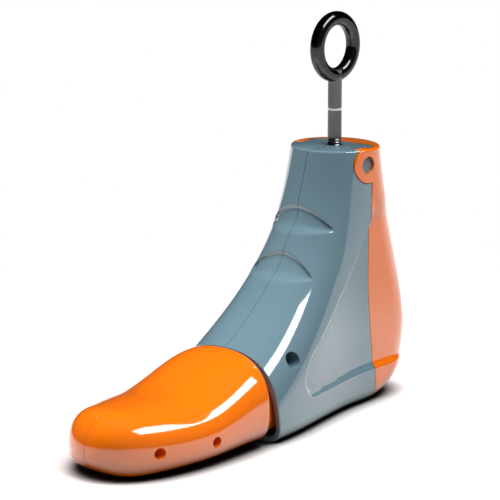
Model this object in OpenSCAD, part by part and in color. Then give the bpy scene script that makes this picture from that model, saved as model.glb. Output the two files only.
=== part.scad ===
// Boot stretcher: two grey body shells, a hinged heel, a split toe and a screw with a ring eye.
// Turning the ring drives a wedge block down, which swings the heel back and opens the toe.
// Origin: middle of the footprint on the floor. Toe points to -Y, width runs along X, Z is up.

/* [Overall size] */
// Length from the back of the heel to the tip of the toe
overall_l = 256; // [240:1:276]
// Height of the flat top face above the sole
body_h = 150; // [142:1:166]
// Width across the ball of the foot
ball_w = 77; // [70:1:84]
// Width across the ankle and the heel
ankle_w = 52; // [50:1:58]
// Length of the toe piece, joint to tip
toe_l = 110; // [100:1:120]
// Height of the toe at its middle
toe_h = 34.5; // [32:0.5:38]
// Height of the instep where the toe begins
instep_h = 49; // [46:1:54]

/* [Shells] */
// Wall thickness of the moulded shells
wall_t = 3; // [2.6:0.1:3.4]
// Gap between the two halves along the middle seam
seam_gap = 0.3; // [0.2:0.05:0.5]
// Depth of the two finger grooves on the instep
groove_depth = 2; // [1:0.25:2.5]
// Depth of the flat panel on each flank
panel_depth = 2; // [1:0.25:2.5]
// Side hole in the body, over a body screw
flank_hole_d = 9; // [8:0.5:10]
// Plug holes in the side of the toe
plug_hole_d = 6; // [4:0.5:7]

/* [Screw and ring] */
// Diameter of the screw and of its smooth shank
screw_d = 8; // [8:0.5:9]
// Bar thickness of the ring
ring_bar_d = 8.2; // [8.2:0.1:9.6]
// Clear diameter inside the ring
ring_id = 24; // [22:1:30]
// Bare shank between the top face and the ring
shank_l = 36; // [32:1:44]
// How far the screw goes down
screw_travel = 24; // [16:1:24]

/* [Hinges] */
// Hole in each ear of the heel
ear_hole_d = 10; // [9:0.5:11]
// Radius of each round ear
ear_r = 10.2; // [9.6:0.2:10.8]
// Hinge pins of the toe halves
toe_pin_d = 6; // [5:0.5:6.5]
// Radial play of pins and sliding shafts
fit_play = 0.05; // [0.03:0.01:0.08]
// Play between shells that pass each other
shell_play = 0.4; // [0.3:0.05:0.5]

/* [Hidden] */
$fn = 64;
big = 200;

// Reference lines, measured from the screw axis
seam_x = seam_gap / 2;
heel_reach = overall_l * 0.2;
joint_reach = overall_l - heel_reach - toe_l;
toe_reach = joint_reach + toe_l;
screw_y = overall_l / 2 - heel_reach;
ankle_half = ankle_w / 2;
ball_half = ball_w / 2;
top_front = ankle_w * 0.46;
top_back = ankle_w * 0.48;
instep_run = joint_reach - top_front;
sole_r = 9;
heel_r = ankle_w * 0.46;
ledge_h = 22;

// Heel hinge
ear_y = -1.5;
ear_z = body_h - 9;
ear_inner_x = ankle_half - 1.2;
ear_outer_x = ankle_half + 0.8;
heel_pin_d = ear_hole_d - 2 * fit_play;
heel_pin_inner_x = 12;
heel_pin_outer_x = ear_outer_x - 2;
ear_boss_r = 8.2;

// Drive
wedge_top = 64;
washer_t = 1.4;
shoulder_z = wedge_top + washer_t + 0.1;
wedge_bottom = 30;
wedge_half_w = 9;
front_slope = 0.375;
back_slope = 0.333;
foot_y = 5;
journal_d = 6;
journal_end = 45.5;
clip_z = 47.5;
nut_z = 96;
nut_h = 6.5;
nut_af = 13;
nut_web_bottom = nut_z - 4;
nut_web_top = nut_z + nut_h + 4;
bush_d = 10.4;
bush_l = 12;
bush_top = body_h - wall_t - 1;
mark_z = body_h + 20;
mark_w = 1.2;
mark_depth = 0.5;
ring_bar_r = ring_bar_d / 2;
ring_r = ring_id / 2 + ring_bar_r;
ring_z = body_h + shank_l + ring_r + ring_bar_r;

// Push rod and toe hinge
rod_half_w = 5;
rod_bottom = 22;
rod_top = 34;
rod_play = 0.2;
toe_pin_x = 13;
toe_pin_y = -(joint_reach - 9);
socket_d = toe_pin_d + 4;
socket_h = 3;
roof_socket_z = instep_h - 5.6;
toe_pin_z = 1.5;
toe_pin_l = roof_socket_z + socket_h - 0.6 - toe_pin_z;
nose_y = -(joint_reach + 22);
nose_l = 9;
nose_tip_w = 1.2;
neck_inset = 5.5;
neck_back_y = toe_pin_y + 2.5;
toe_boss_top = 36.8;

// Springs
spring_wire_r = 0.6;
spring_r = 3.5;
spring_post_r = spring_r - spring_wire_r - 0.25;
spring_sides = 6;
spring_rings = 8;
toe_spring_y = -(joint_reach + 54);
toe_spring_z = 21;
toe_spring_l = 28;
toe_spring_turns = 12;
heel_spring_x = 11;
heel_spring_z = 66;
heel_spring_turns = 7;

// Body screws
screw_head_r = 3.4;
screw_head_h = 2.2;
screw_shank_r = 1.75;
screw_hold = 16;

// Step that eases in and out between 0 and 1
function limit(t) = min(1, max(0, t));
function ease(t) = let (c = limit(t)) c * c * (3 - 2 * c);
// Quarter of a rounded edge, n = 2 for an ellipse and more for a squarer one
function crown(t, n) = pow(1 - pow(1 - limit(t), n), 1 / n);
function mix(a, b, t) = a + (b - a) * t;

// Instep curve in the middle plane: y on the skin for a height, and its lean
function drop(z) = (body_h - z) / (body_h - instep_h);
function front_y(z) = let (s = drop(z)) -(top_front + instep_run * (0.37 * s + 0.63 * pow(max(0, s), 3)));
function front_lean(z) = let (s = drop(z)) instep_run * (0.37 + 1.89 * s * s) / (body_h - instep_h);
function front_stretch(z) = sqrt(1 + pow(front_lean(z), 2));

// Back of the heel in the middle plane
heel_bulge_z = 42;
heel_drop = 24;
function back_y(z) =
    let (u = (body_h - z) / (body_h - heel_bulge_z), v = limit((heel_bulge_z - z) / (heel_bulge_z + 1)))
    z > heel_bulge_z
        ? mix(top_back, heel_reach, 0.55 * u + 0.45 * ease(u))
        : heel_reach - heel_drop * (1 - sqrt(1 - v * v));

// Joint lines: body to heel, and body to toe
function joint_y(z) = 2 + 6 * ease((80 - z) / 80);
function lip_y(z) = -joint_reach + 2.5 * (1 - z / instep_h);

// Flank panel: it deepens behind a curved front edge and above the sole ledge
function panel_edge_y(z) = -0.7 * joint_reach + 0.66 * joint_reach * ease((z - 18) / 91);
function ledge_z(y) = ledge_h + 0.13 * y + 0.0008 * y * y;
function ledge_w(y) = 0.8 + 3.2 * ease((y + 64) / 70);
function panel(y, z) =
    panel_depth * ease((y - panel_edge_y(z)) / 3.5) * ease((z - ledge_z(y)) / ledge_w(y))
        * ease((body_h - 28 - z) / 16) * (1 - 0.7 * ease((y - 28) / 20));

// Half width of body and heel at any height, off = depth below the skin
function side_half(y, z) =
    ankle_half + (ball_half - ankle_half) * ease(-y / joint_reach) * ease((body_h - z) / 70);
function sole_round(z, off) =
    let (r = sole_r - off, t = limit((z - off) / r)) z - off < r ? r * (1 - sqrt(1 - (1 - t) * (1 - t))) : 0;
function shell_half(y, z, off = 0) =
    let (
        in_front = (y - front_y(z)) / front_stretch(z) - off,
        in_back = back_y(z) - y - off,
        corner = top_front + 6 * ease((body_h - z) / 60) - off,
        shape = 2 + 0.3 * ease((body_h - z) / 90)
    )
    (side_half(y, z) - panel(y, z) - off - sole_round(z, off))
        * crown(in_front / corner, shape) * crown(in_back / (heel_r - off), 2);
// The same, never thinner than the offset and never past the seam
function inner_half(y, z, off) = max(seam_x, min(shell_half(y, z, off), shell_half(y, z) - off));
function outer_half(y, z) = max(seam_x, shell_half(y, z));

// Finger grooves on the instep: how far the skin is pushed back at a point
groove_half_h = 8.4;
groove_half_l = 23;
groove_sag = 5.3;
groove_fade = 12;
function groove(x, z, mid_z) =
    let (
        u = x / groove_half_l,
        h = groove_half_h * max(0.01, 1 - u * u),
        t = (z - mid_z + groove_sag * u * u) / h
    )
    groove_depth * ease((1 - t) / 0.35) * ease((1 + t) / 0.8) * ease(3 * (1 - u * u));
groove_high = instep_h + 0.62 * (body_h - instep_h);
groove_low = instep_h + 0.375 * (body_h - instep_h);
function grooves(x, z) = groove(x, z, groove_high) + groove(x, z, groove_low);

// Toe: top line, bottom line and plan half width along its length, s = 0 at the joint and 1 at the tip
toe_mid_z = 15.5;
function toe_s(y) = limit((-joint_reach - y) / toe_l);
function nose_round(y) = sqrt(max(0, 1 - pow(max(0, (toe_s(y) - 0.8) / 0.2), 2.2)));
function toe_back(y) = toe_h + (instep_h - toe_h) * pow(1 - ease(toe_s(y) / 0.62), 1.6);
function toe_top(y) = toe_mid_z + (toe_back(y) - toe_mid_z) * nose_round(y);
function toe_bottom(y) = toe_mid_z * (1 - nose_round(y));
function arch(t, n) = pow(max(0, 1 - pow(t, n)), 1 / n);
toe_taper_l = 75;
function toe_plan(y) =
    ball_half * arch(limit((toe_s(y) * toe_l - (toe_l - toe_taper_l)) / toe_taper_l), 2.3);
function toe_half(y, z) =
    let (
        top = toe_top(y),
        bottom = toe_bottom(y),
        mid = mix(bottom, top, 0.42),
        up = (z - mid) / max(0.01, top - mid),
        down = (mid - z) / max(0.01, mid - bottom)
    )
    toe_plan(y) * (z > mid ? arch(up, 2.4) : arch(down, 3.2));
// Rear edge of the toe: it stands off from the body more and more down the side
function toe_edge_shift(x, z) = -5.5 * pow(x / ball_half, 2) - 1.5 * (1 - z / instep_h);

// Closed solid between an outer grid of points and an inner grid of the same size
module thick_patch(outer, inner) {
    rows = len(outer);
    cols = len(outer[0]);
    count = rows * cols;
    points = concat([for (r = outer) each r], [for (r = inner) each r]);
    function at(side, i, j) = side * count + i * cols + j;
    skin = [for (i = [0 : rows - 2]) for (j = [0 : cols - 2]) each [
        [at(0, i, j), at(0, i + 1, j + 1), at(0, i, j + 1)],
        [at(0, i, j), at(0, i + 1, j), at(0, i + 1, j + 1)]]];
    lining = [for (i = [0 : rows - 2]) for (j = [0 : cols - 2]) each [
        [at(1, i, j), at(1, i, j + 1), at(1, i + 1, j + 1)],
        [at(1, i, j), at(1, i + 1, j + 1), at(1, i + 1, j)]]];
    ends = [for (j = [0 : cols - 2]) each [
        [at(0, 0, j), at(0, 0, j + 1), at(1, 0, j + 1)], [at(0, 0, j), at(1, 0, j + 1), at(1, 0, j)],
        [at(0, rows - 1, j), at(1, rows - 1, j + 1), at(0, rows - 1, j + 1)],
        [at(0, rows - 1, j), at(1, rows - 1, j), at(1, rows - 1, j + 1)]]];
    sides = [for (i = [0 : rows - 2]) each [
        [at(0, i, 0), at(1, i + 1, 0), at(0, i + 1, 0)], [at(0, i, 0), at(1, i, 0), at(1, i + 1, 0)],
        [at(0, i, cols - 1), at(0, i + 1, cols - 1), at(1, i + 1, cols - 1)],
        [at(0, i, cols - 1), at(1, i + 1, cols - 1), at(1, i, cols - 1)]]];
    polyhedron(points, concat(skin, lining, ends, sides));
}

// Heights of the rows of points: close at the rounded sole, at the top of the joint and at the grooves
function spread(from, to, n) = [for (i = [0 : n - 1]) mix(from, to, i / n)];
row_z = concat(
    [for (a = [0 : 18 : 72]) sole_r * (1 - cos(a))],
    spread(sole_r, instep_h - 4, 5),
    spread(instep_h - 4, instep_h, 2),
    spread(instep_h, groove_low - 9, 4),
    spread(groove_low - 9, groove_high + 9, 15),
    spread(groove_high + 9, body_h, 5),
    [body_h]
);

// Moves a module drawn about the screw axis into the part's frame
module place() {
    translate([0, screw_y, 0]) children();
}

module both_sides() {
    children();
    mirror([1, 0, 0]) children();
}

// Bar along X from one x to another
module bar_x(r, x0, x1, y, z) {
    translate([x0, y, z]) rotate([0, 90, 0]) cylinder(r = r, h = x1 - x0);
}

// Body half, drawn for +X: skin from the front seam to the heel joint, then the tongue under the heel
tongue_inset = wall_t + shell_play * 3;
tongue_wall = 2.6;
function tongue_y(z) = 11 + 10 * ease((body_h - 20 - z) / 45);
// Narrower at the sole, where the heel lifts a little as it swings
function tongue_half(y, z, off) = max(seam_x, inner_half(y, z, off) - 3.5 * (1 - ease(z / 10)));
skin_cols = 15;

function body_row(z) =
    let (y0 = max(front_y(z), lip_y(z)), y1 = joint_y(z), y2 = tongue_y(z))
    concat(
        [for (j = [0 : skin_cols])
            let (
                y = mix(y0, y1, 1 - cos(90 * j / skin_cols)),
                x = j == 0 && y0 == front_y(z) ? seam_x : outer_half(y, z)
            )
            [x, y + grooves(x, z) * ease((y1 - y) / groove_fade), z]],
        [for (k = [0 : 2]) let (y = mix(y1, y2, k / 2)) [tongue_half(y, z, tongue_inset), y, z]],
        [[seam_x, y2, z]]
    );

function lining_row(z) =
    let (
        y0 = max(front_y(z) + wall_t * front_stretch(z), lip_y(z)),
        y1 = joint_y(z) - tongue_wall,
        y2 = tongue_y(z) - tongue_wall,
        deep = tongue_inset + tongue_wall
    )
    concat(
        [for (j = [0 : skin_cols])
            let (y = mix(y0, y1, 1 - cos(90 * j / skin_cols)))
            [j == 0 && y0 > lip_y(z) ? seam_x : inner_half(y, z, wall_t), y, z]],
        [for (k = [0 : 2]) let (y = mix(y1, y2, k / 2)) [tongue_half(y, z, deep), y, z]],
        [[seam_x, y2, z]]
    );

module body_shell() {
    thick_patch([for (z = row_z) body_row(z)], [for (z = row_z) lining_row(z)]);
}

// Flat plate inside the skin at one height, for the sole and for the top face
module body_plate(z, t, inset) {
    y0 = max(front_y(z), lip_y(z)) + inset;
    y1 = joint_y(z);
    y2 = tongue_y(z) - inset;
    deep = tongue_inset + inset;
    side = [for (j = [0 : 12]) let (y = mix(y0, y1, 1 - cos(90 * j / 12))) [inner_half(y, z, inset), y]];
    translate([0, 0, z]) linear_extrude(t) polygon(concat(
        [[seam_x, y0]],
        side,
        [[tongue_half(y1, z, deep), y1], [tongue_half(y2, z, deep), y2], [seam_x, y2]]
    ));
}

// Upright ribs that keep the wedge block straight, with a slot for its key
rail_t = 2.8;
key_half_w = 2.6;
module guide_rails() {
    for (mid_y = [-key_half_w - rod_play - rail_t / 2, key_half_w + rod_play + rail_t / 2])
        translate([wedge_half_w + rod_play, mid_y - rail_t / 2, 1])
            cube([ankle_half - wedge_half_w - 6, rail_t, nut_web_bottom]);
}

// Cross wall that holds the nut in a six-sided pocket
module nut_web() {
    in_front = ankle_half - 5;
    in_tongue = ankle_half - panel_depth - tongue_inset - tongue_wall / 2;
    translate([0, 0, nut_web_bottom]) linear_extrude(nut_web_top - nut_web_bottom) polygon([
        [seam_x, -14],
        [in_front, -14],
        [in_front, 0],
        [in_tongue, 0],
        [in_tongue, 9],
        [seam_x, 9]
    ]);
}

// Cross walls with a window for the push rod
rod_web_t = 4;
rod_web_y = [-0.36 * joint_reach, -0.66 * joint_reach];
module rod_web(y) {
    rim = [for (z = [1 : 2 : rod_top + 7]) [inner_half(y - rod_web_t / 2, z, wall_t / 2), z]];
    difference() {
        translate([0, y + rod_web_t / 2, 0]) rotate([90, 0, 0]) linear_extrude(rod_web_t)
            polygon(concat([[seam_x, 1]], rim, [[seam_x, rod_top + 7]]));
        translate([-big / 2, y - rod_web_t, rod_bottom - rod_play])
            cube([big / 2 + rod_half_w + rod_play, 2 * rod_web_t, rod_top - rod_bottom + 2 * rod_play]);
    }
}

// Sockets for the upright toe pin, on the floor and under the roof
module toe_pin_sockets() {
    translate([toe_pin_x, toe_pin_y, 1]) cylinder(d = socket_d, h = wall_t - 1 + socket_h / 2);
    translate([toe_pin_x, toe_pin_y, roof_socket_z]) cylinder(d = socket_d, h = socket_h);
}

// Body screws: place along y and z, and x of the underside of the head
flank_screw = [-0.796 * joint_reach, 43.5, 16];
flank_boss_end = inner_half(flank_screw[0], flank_screw[1], wall_t / 2) - 1.5;
tongue_screws = [[8.8, 0.78 * body_h, 17.5], [12, 80, 16], [15.5, 12, 11]];
body_screws_at = concat([flank_screw], tongue_screws);

module body_half(side) {
    difference() {
        union() {
            body_shell();
            body_plate(0, wall_t, 1);
            body_plate(body_h - wall_t - 1, wall_t + 1, 1);
            guide_rails();
            nut_web();
            for (y = rod_web_y) rod_web(y);
            toe_pin_sockets();
            bar_x(ear_boss_r, heel_pin_inner_x + 2, ankle_half - tongue_inset - 0.2, ear_y, ear_z);
            bar_x(flank_hole_d / 2 + 1.5, seam_x, flank_boss_end, flank_screw[0], flank_screw[1]);
            for (s = tongue_screws) bar_x(4.4, seam_x, s[2] + screw_head_h, s[0], s[1]);
        }
        // Round recess for the ear of the heel, open to the back
        bar_x(ear_r + shell_play, ear_inner_x - shell_play, big, ear_y, ear_z);
        bar_x(heel_pin_d / 2 + 0.01, heel_pin_inner_x, big, ear_y, ear_z);
        // Way for the screw, its bush and its nut
        translate([0, 0, bush_top - bush_l]) cylinder(d = bush_d + 0.04, h = bush_l);
        translate([0, 0, wedge_top]) cylinder(d = screw_d + 1.2, h = big);
        translate([0, 0, nut_z - 0.05]) cylinder(d = (nut_af + 0.1) / cos(30), h = nut_h + 0.1, $fn = 6);
        // Way for the rib of the heel, and holes for the toe pin
        translate([-big / 2, 6, 26]) cube([big / 2 + 3.9, 30, 20]);
        translate([toe_pin_x, toe_pin_y, toe_pin_z - 0.05])
            cylinder(d = toe_pin_d + 0.02, h = toe_pin_l + 0.1);
        for (s = body_screws_at) body_screw_hole(s, side);
    }
}

// Screw holes: head and clearance in the right half, a tight hole in the left half
module body_screw_hole(s, side) {
    if (side > 0) {
        bar_x(screw_shank_r + 0.15, -1, big, s[0], s[1]);
        bar_x(s == flank_screw ? flank_hole_d / 2 : screw_head_r + 0.2, s[2], big, s[0], s[1]);
    } else {
        bar_x(screw_shank_r + 0.02, -1, screw_hold + 0.3, s[0], s[1]);
    }
}

module body_right() {
    place() color("slategray") body_half(1);
}

module body_left() {
    place() color("slategray") mirror([1, 0, 0]) body_half(-1);
}

// Heel: one shell round the back, drawn from the +X joint round to the -X joint
heel_cols = 11;
function heel_gap(z) = 0.3 + 0.1 * max(0, z - ear_z);
function ear_swell(y, z) = (ear_outer_x - ankle_half) * ease((24 - norm([y - ear_y, z - ear_z])) / 13);
function heel_side(z, off) =
    let (y0 = joint_y(z) + heel_gap(z), y1 = back_y(z) - off)
    [for (j = [0 : heel_cols - 1])
        let (y = mix(y0, y1, sin(90 * j / heel_cols)))
        [off == 0 ? outer_half(y, z) + ear_swell(y, z) : inner_half(y, z, off), y, z]];
function heel_row(z, off) =
    let (side = heel_side(z, off), n = len(side))
    concat(side, [[0, back_y(z) - off, z]], [for (j = [n - 1 : -1 : 0]) [-side[j][0], side[j][1], z]]);

heel_row_z = concat([for (a = [0 : 18 : 72]) sole_r * (1 - cos(a))], spread(sole_r, body_h, 23), [body_h]);

module heel_plate(z, t, from_y, inset) {
    y1 = back_y(z) - inset;
    side = [for (j = [0 : 10])
        let (y = mix(from_y, y1, sin(90 * j / 10)))
        [j == 10 ? 0.01 : inner_half(y, z, inset), y]];
    translate([0, 0, z]) linear_extrude(t)
        polygon(concat(side, [for (j = [10 : -1 : 0]) [-side[j][0], side[j][1]]]));
}

module heel() {
    rib_z0 = wedge_bottom;
    rib_z1 = wedge_bottom + 10;
    place() color("darkorange") difference() {
        union() {
            thick_patch([for (z = heel_row_z) heel_row(z, 0)], [for (z = heel_row_z) heel_row(z, wall_t)]);
            heel_plate(0, wall_t, tongue_y(0) + 1.2, 1);
            heel_plate(body_h - wall_t, wall_t, tongue_y(body_h) + 1.2, 1);
            intersection() {
                both_sides() bar_x(ear_r, ear_inner_x, ear_outer_x, ear_y, ear_z);
                translate([-big / 2, -big / 2, 0]) cube([big, big, body_h]);
            }
            // Rib that rests on the back slope of the wedge block
            rotate([90, 0, 90]) translate([0, 0, -3]) linear_extrude(6) polygon([
                [foot_y + rod_play, rib_z0],
                [foot_y + rod_play + 10 * back_slope, rib_z1],
                [back_y(rib_z1) - wall_t / 2, rib_z1],
                [back_y(rib_z0) - wall_t / 2, rib_z0]
            ]);
            // Posts for the two springs
            both_sides() translate([heel_spring_x, heel_post_y, heel_spring_z]) rotate([-90, 0, 0])
                cylinder(r = spring_post_r, h = heel_post_end - heel_post_y);
        }
        both_sides() bar_x(ear_hole_d / 2, 0, big, ear_y, ear_z);
    }
}

// Heel springs run from the back of the tongue to posts on the heel
heel_post_end = back_y(heel_spring_z) - wall_t - 1.6;
heel_post_y = heel_post_end - 8;
heel_spring_y0 = tongue_y(heel_spring_z) + 0.2;
heel_spring_y1 = heel_post_end - 5;

// Toe half, drawn for +X, in upright slices from the joint to the tip
toe_rows = 22;
toe_cols = 15;
nose_pocket = 0.2;
function toe_station(i) = -joint_reach - toe_l * 0.9995 * sin(90 * i / toe_rows);
function toe_slice(y, fade) =
    [for (j = [0 : toe_cols])
        let (z = mix(toe_bottom(y), toe_top(y), (1 - cos(180 * j / toe_cols)) / 2),
             x = j == 0 || j == toe_cols ? seam_x : max(seam_x, toe_half(y, z)))
        [x, y + fade * toe_edge_shift(x, z), z]];
function toe_lining(y, fade) =
    let (
        mid = mix(toe_bottom(y), toe_top(y), 0.42),
        z0 = mid - max((mid - toe_bottom(y)) / 2, mid - toe_bottom(y) - wall_t),
        z1 = mid + max((toe_top(y) - mid) / 2, toe_top(y) - mid - wall_t)
    )
    [for (j = [0 : toe_cols])
        let (z = mix(z0, z1, (1 - cos(180 * j / toe_cols)) / 2),
             deep = min(toe_half(y, z) - wall_t, toe_half(y - wall_t, z)),
             x = seam_x + sin(180 * j / toe_cols) * nose_pocket)
        [j == 0 || j == toe_cols ? seam_x : max(x, deep), y + fade * toe_edge_shift(max(x, deep), z), z]];

// Neck: a smaller section that fits inside toe and body, reaching back round the toe pin
neck_seam_x = seam_x + 0.4;
function neck_half(y, z, inset) =
    min(toe_half(-joint_reach, z) - inset, shell_half(max(y, lip_y(0)), z, inset + 0.5));
function neck_slice(y, inset) =
    let (z0 = inset, z1 = roof_socket_z - 0.7 - (inset - neck_inset))
    [for (j = [0 : toe_cols])
        let (z = mix(z0, z1, (1 - cos(180 * j / toe_cols)) / 2))
        [j == 0 || j == toe_cols ? neck_seam_x : max(neck_seam_x, neck_half(y, z, inset)), y, z]];
neck_rows = [neck_back_y, -joint_reach - 2, -joint_reach - 12];

module toe_half_shell() {
    thick_patch(
        [for (i = [0 : toe_rows]) toe_slice(toe_station(i), pow(1 - i / toe_rows, 4))],
        [for (i = [0 : toe_rows]) toe_lining(toe_station(i), pow(1 - i / toe_rows, 4))]
    );
    thick_patch(
        [for (y = neck_rows) neck_slice(y, neck_inset)],
        [for (y = neck_rows) neck_slice(y, neck_inset + wall_t)]
    );
}

// Ring of material that ties the neck to the toe wall inside the joint
function limit_z(z, y) = min(toe_top(y) - 1.5, max(toe_bottom(y) + 1.2, z));
module neck_flange() {
    ys = -joint_reach - 10;
    outer = [for (p = toe_slice(ys, 0)) [max(seam_x, p[0] - 1.2), limit_z(p[2], ys)]];
    neck = neck_slice(ys, neck_inset + wall_t);
    inner = [for (j = [toe_cols : -1 : 0]) [neck[j][0], neck[j][2]]];
    translate([0, ys + 2, 0]) rotate([90, 0, 0]) linear_extrude(3) polygon(concat(outer, inner));
}
// Pads that the nose of the push rod spreads
module cam_pad() {
    y0 = nose_y;
    y1 = nose_y - nose_l;
    translate([0, 0, rod_bottom - 2]) linear_extrude(9) polygon([
        [rod_half_w + rod_play, y0],
        [nose_tip_w + rod_play, y1],
        [nose_tip_w + rod_play, y1 - 3],
        [ball_half - wall_t - 3, y1 - 3],
        [ball_half - wall_t - 1, y0],
    ]);
}

plug_holes = [[-(joint_reach + 49), 14], [-(joint_reach + 85), 15]];

module toe_piece() {
    difference() {
        union() {
            toe_half_shell();
            neck_flange();
            cam_pad();
            translate([toe_pin_x, toe_pin_y, neck_inset + 1.2])
                cylinder(d = socket_d + 1, h = toe_boss_top - neck_inset - 1.2);
            bar_x(spring_post_r, toe_spring_l / 2 - 3, ball_half - wall_t - 1, toe_spring_y, toe_spring_z);
        }
        translate([toe_pin_x, toe_pin_y, 0]) cylinder(d = toe_pin_d + 2 * fit_play, h = instep_h);
        for (h = plug_holes) bar_x(plug_hole_d / 2, 12, big, h[0], h[1]);
    }
}

module toe_right() {
    place() color("darkorange") toe_piece();
}

module toe_left() {
    place() color("darkorange") mirror([1, 0, 0]) toe_piece();
}

// Screw with its ring eye, groove for the mark, journal and clip groove at the foot
module eye_screw() {
    place() color("dimgray") difference() {
        union() {
            translate([0, 0, ring_z]) rotate([0, 90, 0]) rotate_extrude()
                translate([ring_r, 0]) circle(r = ring_bar_r);
            translate([0, 0, shoulder_z]) cylinder(d = screw_d, h = ring_z - ring_id / 2 - 0.8 - shoulder_z);
            translate([0, 0, journal_end]) cylinder(d = journal_d, h = shoulder_z + 0.5 - journal_end);
        }
        groove_ring(screw_d / 2, mark_depth, mark_z, mark_w);
        groove_ring(journal_d / 2, 0.8, clip_z, 1.05);
    }
}

module groove_ring(r, depth, z, w) {
    translate([0, 0, z]) difference() {
        cylinder(r = r + 1, h = w);
        translate([0, 0, -1]) cylinder(r = r - depth, h = w + 2);
    }
}

module ring_of(r_in, r_out, z, h) {
    translate([0, 0, z]) difference() {
        cylinder(r = r_out, h = h);
        translate([0, 0, -1]) cylinder(r = r_in, h = h + 2);
    }
}

module marker_ring() {
    place() color("white")
        ring_of(screw_d / 2 - mark_depth + 0.01, screw_d / 2, mark_z + 0.05, mark_w - 0.1);
}

module guide_bush() {
    place() color("black")
        ring_of(screw_d / 2 + fit_play, bush_d / 2, bush_top - bush_l, bush_l);
}

module thread_nut() {
    place() color("silver") translate([0, 0, nut_z]) difference() {
        cylinder(d = nut_af / cos(30), h = nut_h, $fn = 6);
        translate([0, 0, -1]) cylinder(d = screw_d + 0.04, h = nut_h + 2);
    }
}

module thrust_washer() {
    place() color("silver") ring_of(journal_d / 2 + fit_play, 6.5, wedge_top + 0.05, washer_t);
}

module retaining_clip() {
    place() color("silver") difference() {
        ring_of(journal_d / 2 - 0.78, 5.2, clip_z + 0.02, 1);
        translate([-1.5, 0, clip_z - 1]) cube([3, 10, 3]);
    }
}

// Wedge block: pushes the rod forward and the heel back as it goes down
module wedge_block() {
    h = wedge_top - wedge_bottom;
    place() color("ivory") difference() {
        union() {
            rotate([90, 0, 90]) translate([0, 0, -wedge_half_w]) linear_extrude(2 * wedge_half_w) polygon([
                [-foot_y, wedge_bottom],
                [foot_y, wedge_bottom],
                [foot_y + h * back_slope, wedge_top],
                [-foot_y - h * front_slope, wedge_top]
            ]);
            translate([-wedge_half_w - 3, -key_half_w, wedge_bottom + 2])
                cube([2 * wedge_half_w + 6, 2 * key_half_w, h - 2]);
        }
        translate([0, 0, journal_end - 4]) cylinder(d = journal_d + 2 * fit_play, h = h);
        // Cross window where the clip goes on
        translate([-big / 2, -6, clip_z - 6]) cube([big, 12, 7.1]);
    }
}

// Push rod: slanted back face on the wedge block, narrow nose between the toe pads
module push_rod() {
    place() color("ivory") difference() {
        translate([0, 0, rod_bottom]) linear_extrude(rod_top - rod_bottom) polygon([
            [rod_half_w, 0],
            [rod_half_w, nose_y],
            [nose_tip_w, nose_y - nose_l],
            [-nose_tip_w, nose_y - nose_l],
            [-rod_half_w, nose_y],
            [-rod_half_w, 0]
        ]);
        rotate([90, 0, 90]) translate([0, 0, -big / 2]) linear_extrude(big) polygon([
            [-foot_y - rod_play - front_slope * (rod_top + 5 - wedge_bottom), rod_top + 5],
            [-foot_y - rod_play - front_slope * (rod_bottom - 5 - wedge_bottom), rod_bottom - 5],
            [big, rod_bottom - 5],
            [big, rod_top + 5]
        ]);
    }
}

module toe_pin(side) {
    place() color("silver") translate([side * toe_pin_x, toe_pin_y, toe_pin_z])
        cylinder(d = toe_pin_d, h = toe_pin_l);
}

module toe_pin_left() {
    toe_pin(-1);
}

module toe_pin_right() {
    toe_pin(1);
}

module heel_pin_right() {
    place() color("slategray") bar_x(heel_pin_d / 2, heel_pin_inner_x, heel_pin_outer_x, ear_y, ear_z);
}

module heel_pin_left() {
    place() color("slategray") mirror([1, 0, 0])
        bar_x(heel_pin_d / 2, heel_pin_inner_x, heel_pin_outer_x, ear_y, ear_z);
}

// Screws that hold the two body halves together
module body_screws() {
    place() color("gray") for (s = body_screws_at) {
        bar_x(screw_shank_r, -screw_hold, s[2] + 0.05, s[0], s[1]);
        bar_x(screw_head_r, s[2], s[2] + screw_head_h, s[0], s[1]);
    }
}

// Coil along Z from 0 to its length, one unbroken tube
module coil(length, turns) {
    steps = turns * spring_rings;
    rise = (length - 2 * spring_wire_r) / steps;
    points = [for (i = [0 : steps]) for (k = [0 : spring_sides - 1])
        let (a = 360 * i / spring_rings, b = 360 * k / spring_sides, r = spring_r + spring_wire_r * cos(b))
        [r * cos(a), r * sin(a), spring_wire_r + i * rise + spring_wire_r * sin(b)]];
    tube = [for (i = [0 : steps - 1]) for (k = [0 : spring_sides - 1])
        let (a = i * spring_sides + k, b = i * spring_sides + (k + 1) % spring_sides)
        each [[a, b, b + spring_sides], [a, b + spring_sides, a + spring_sides]]];
    first = [[for (k = [spring_sides - 1 : -1 : 0]) k]];
    last = [[for (k = [0 : spring_sides - 1]) steps * spring_sides + k]];
    polyhedron(points, concat(first, tube, last));
}

function coil_gap(length, turns) = (length - 2 * spring_wire_r) / turns - 2 * spring_wire_r;

module toe_spring() {
    place() color("silver") translate([-toe_spring_l / 2, toe_spring_y, toe_spring_z]) rotate([0, 90, 0])
        coil(toe_spring_l, toe_spring_turns);
}

module heel_springs() {
    place() color("silver") both_sides()
        translate([heel_spring_x, heel_spring_y0, heel_spring_z]) rotate([-90, 0, 0])
            coil(heel_spring_y1 - heel_spring_y0, heel_spring_turns);
}

echo(toe_spring_gap = coil_gap(toe_spring_l, toe_spring_turns));
echo(heel_spring_gap = coil_gap(heel_spring_y1 - heel_spring_y0, heel_spring_turns));

body_left();
body_right();
heel();
toe_left();
toe_right();
eye_screw();
marker_ring();
guide_bush();
thread_nut();
thrust_washer();
retaining_clip();
wedge_block();
push_rod();
toe_pin_left();
toe_pin_right();
heel_pin_left();
heel_pin_right();
body_screws();
toe_spring();
heel_springs();
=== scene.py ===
import math

import bmesh
import bpy
import numpy as np
from mathutils import Matrix, Vector


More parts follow.
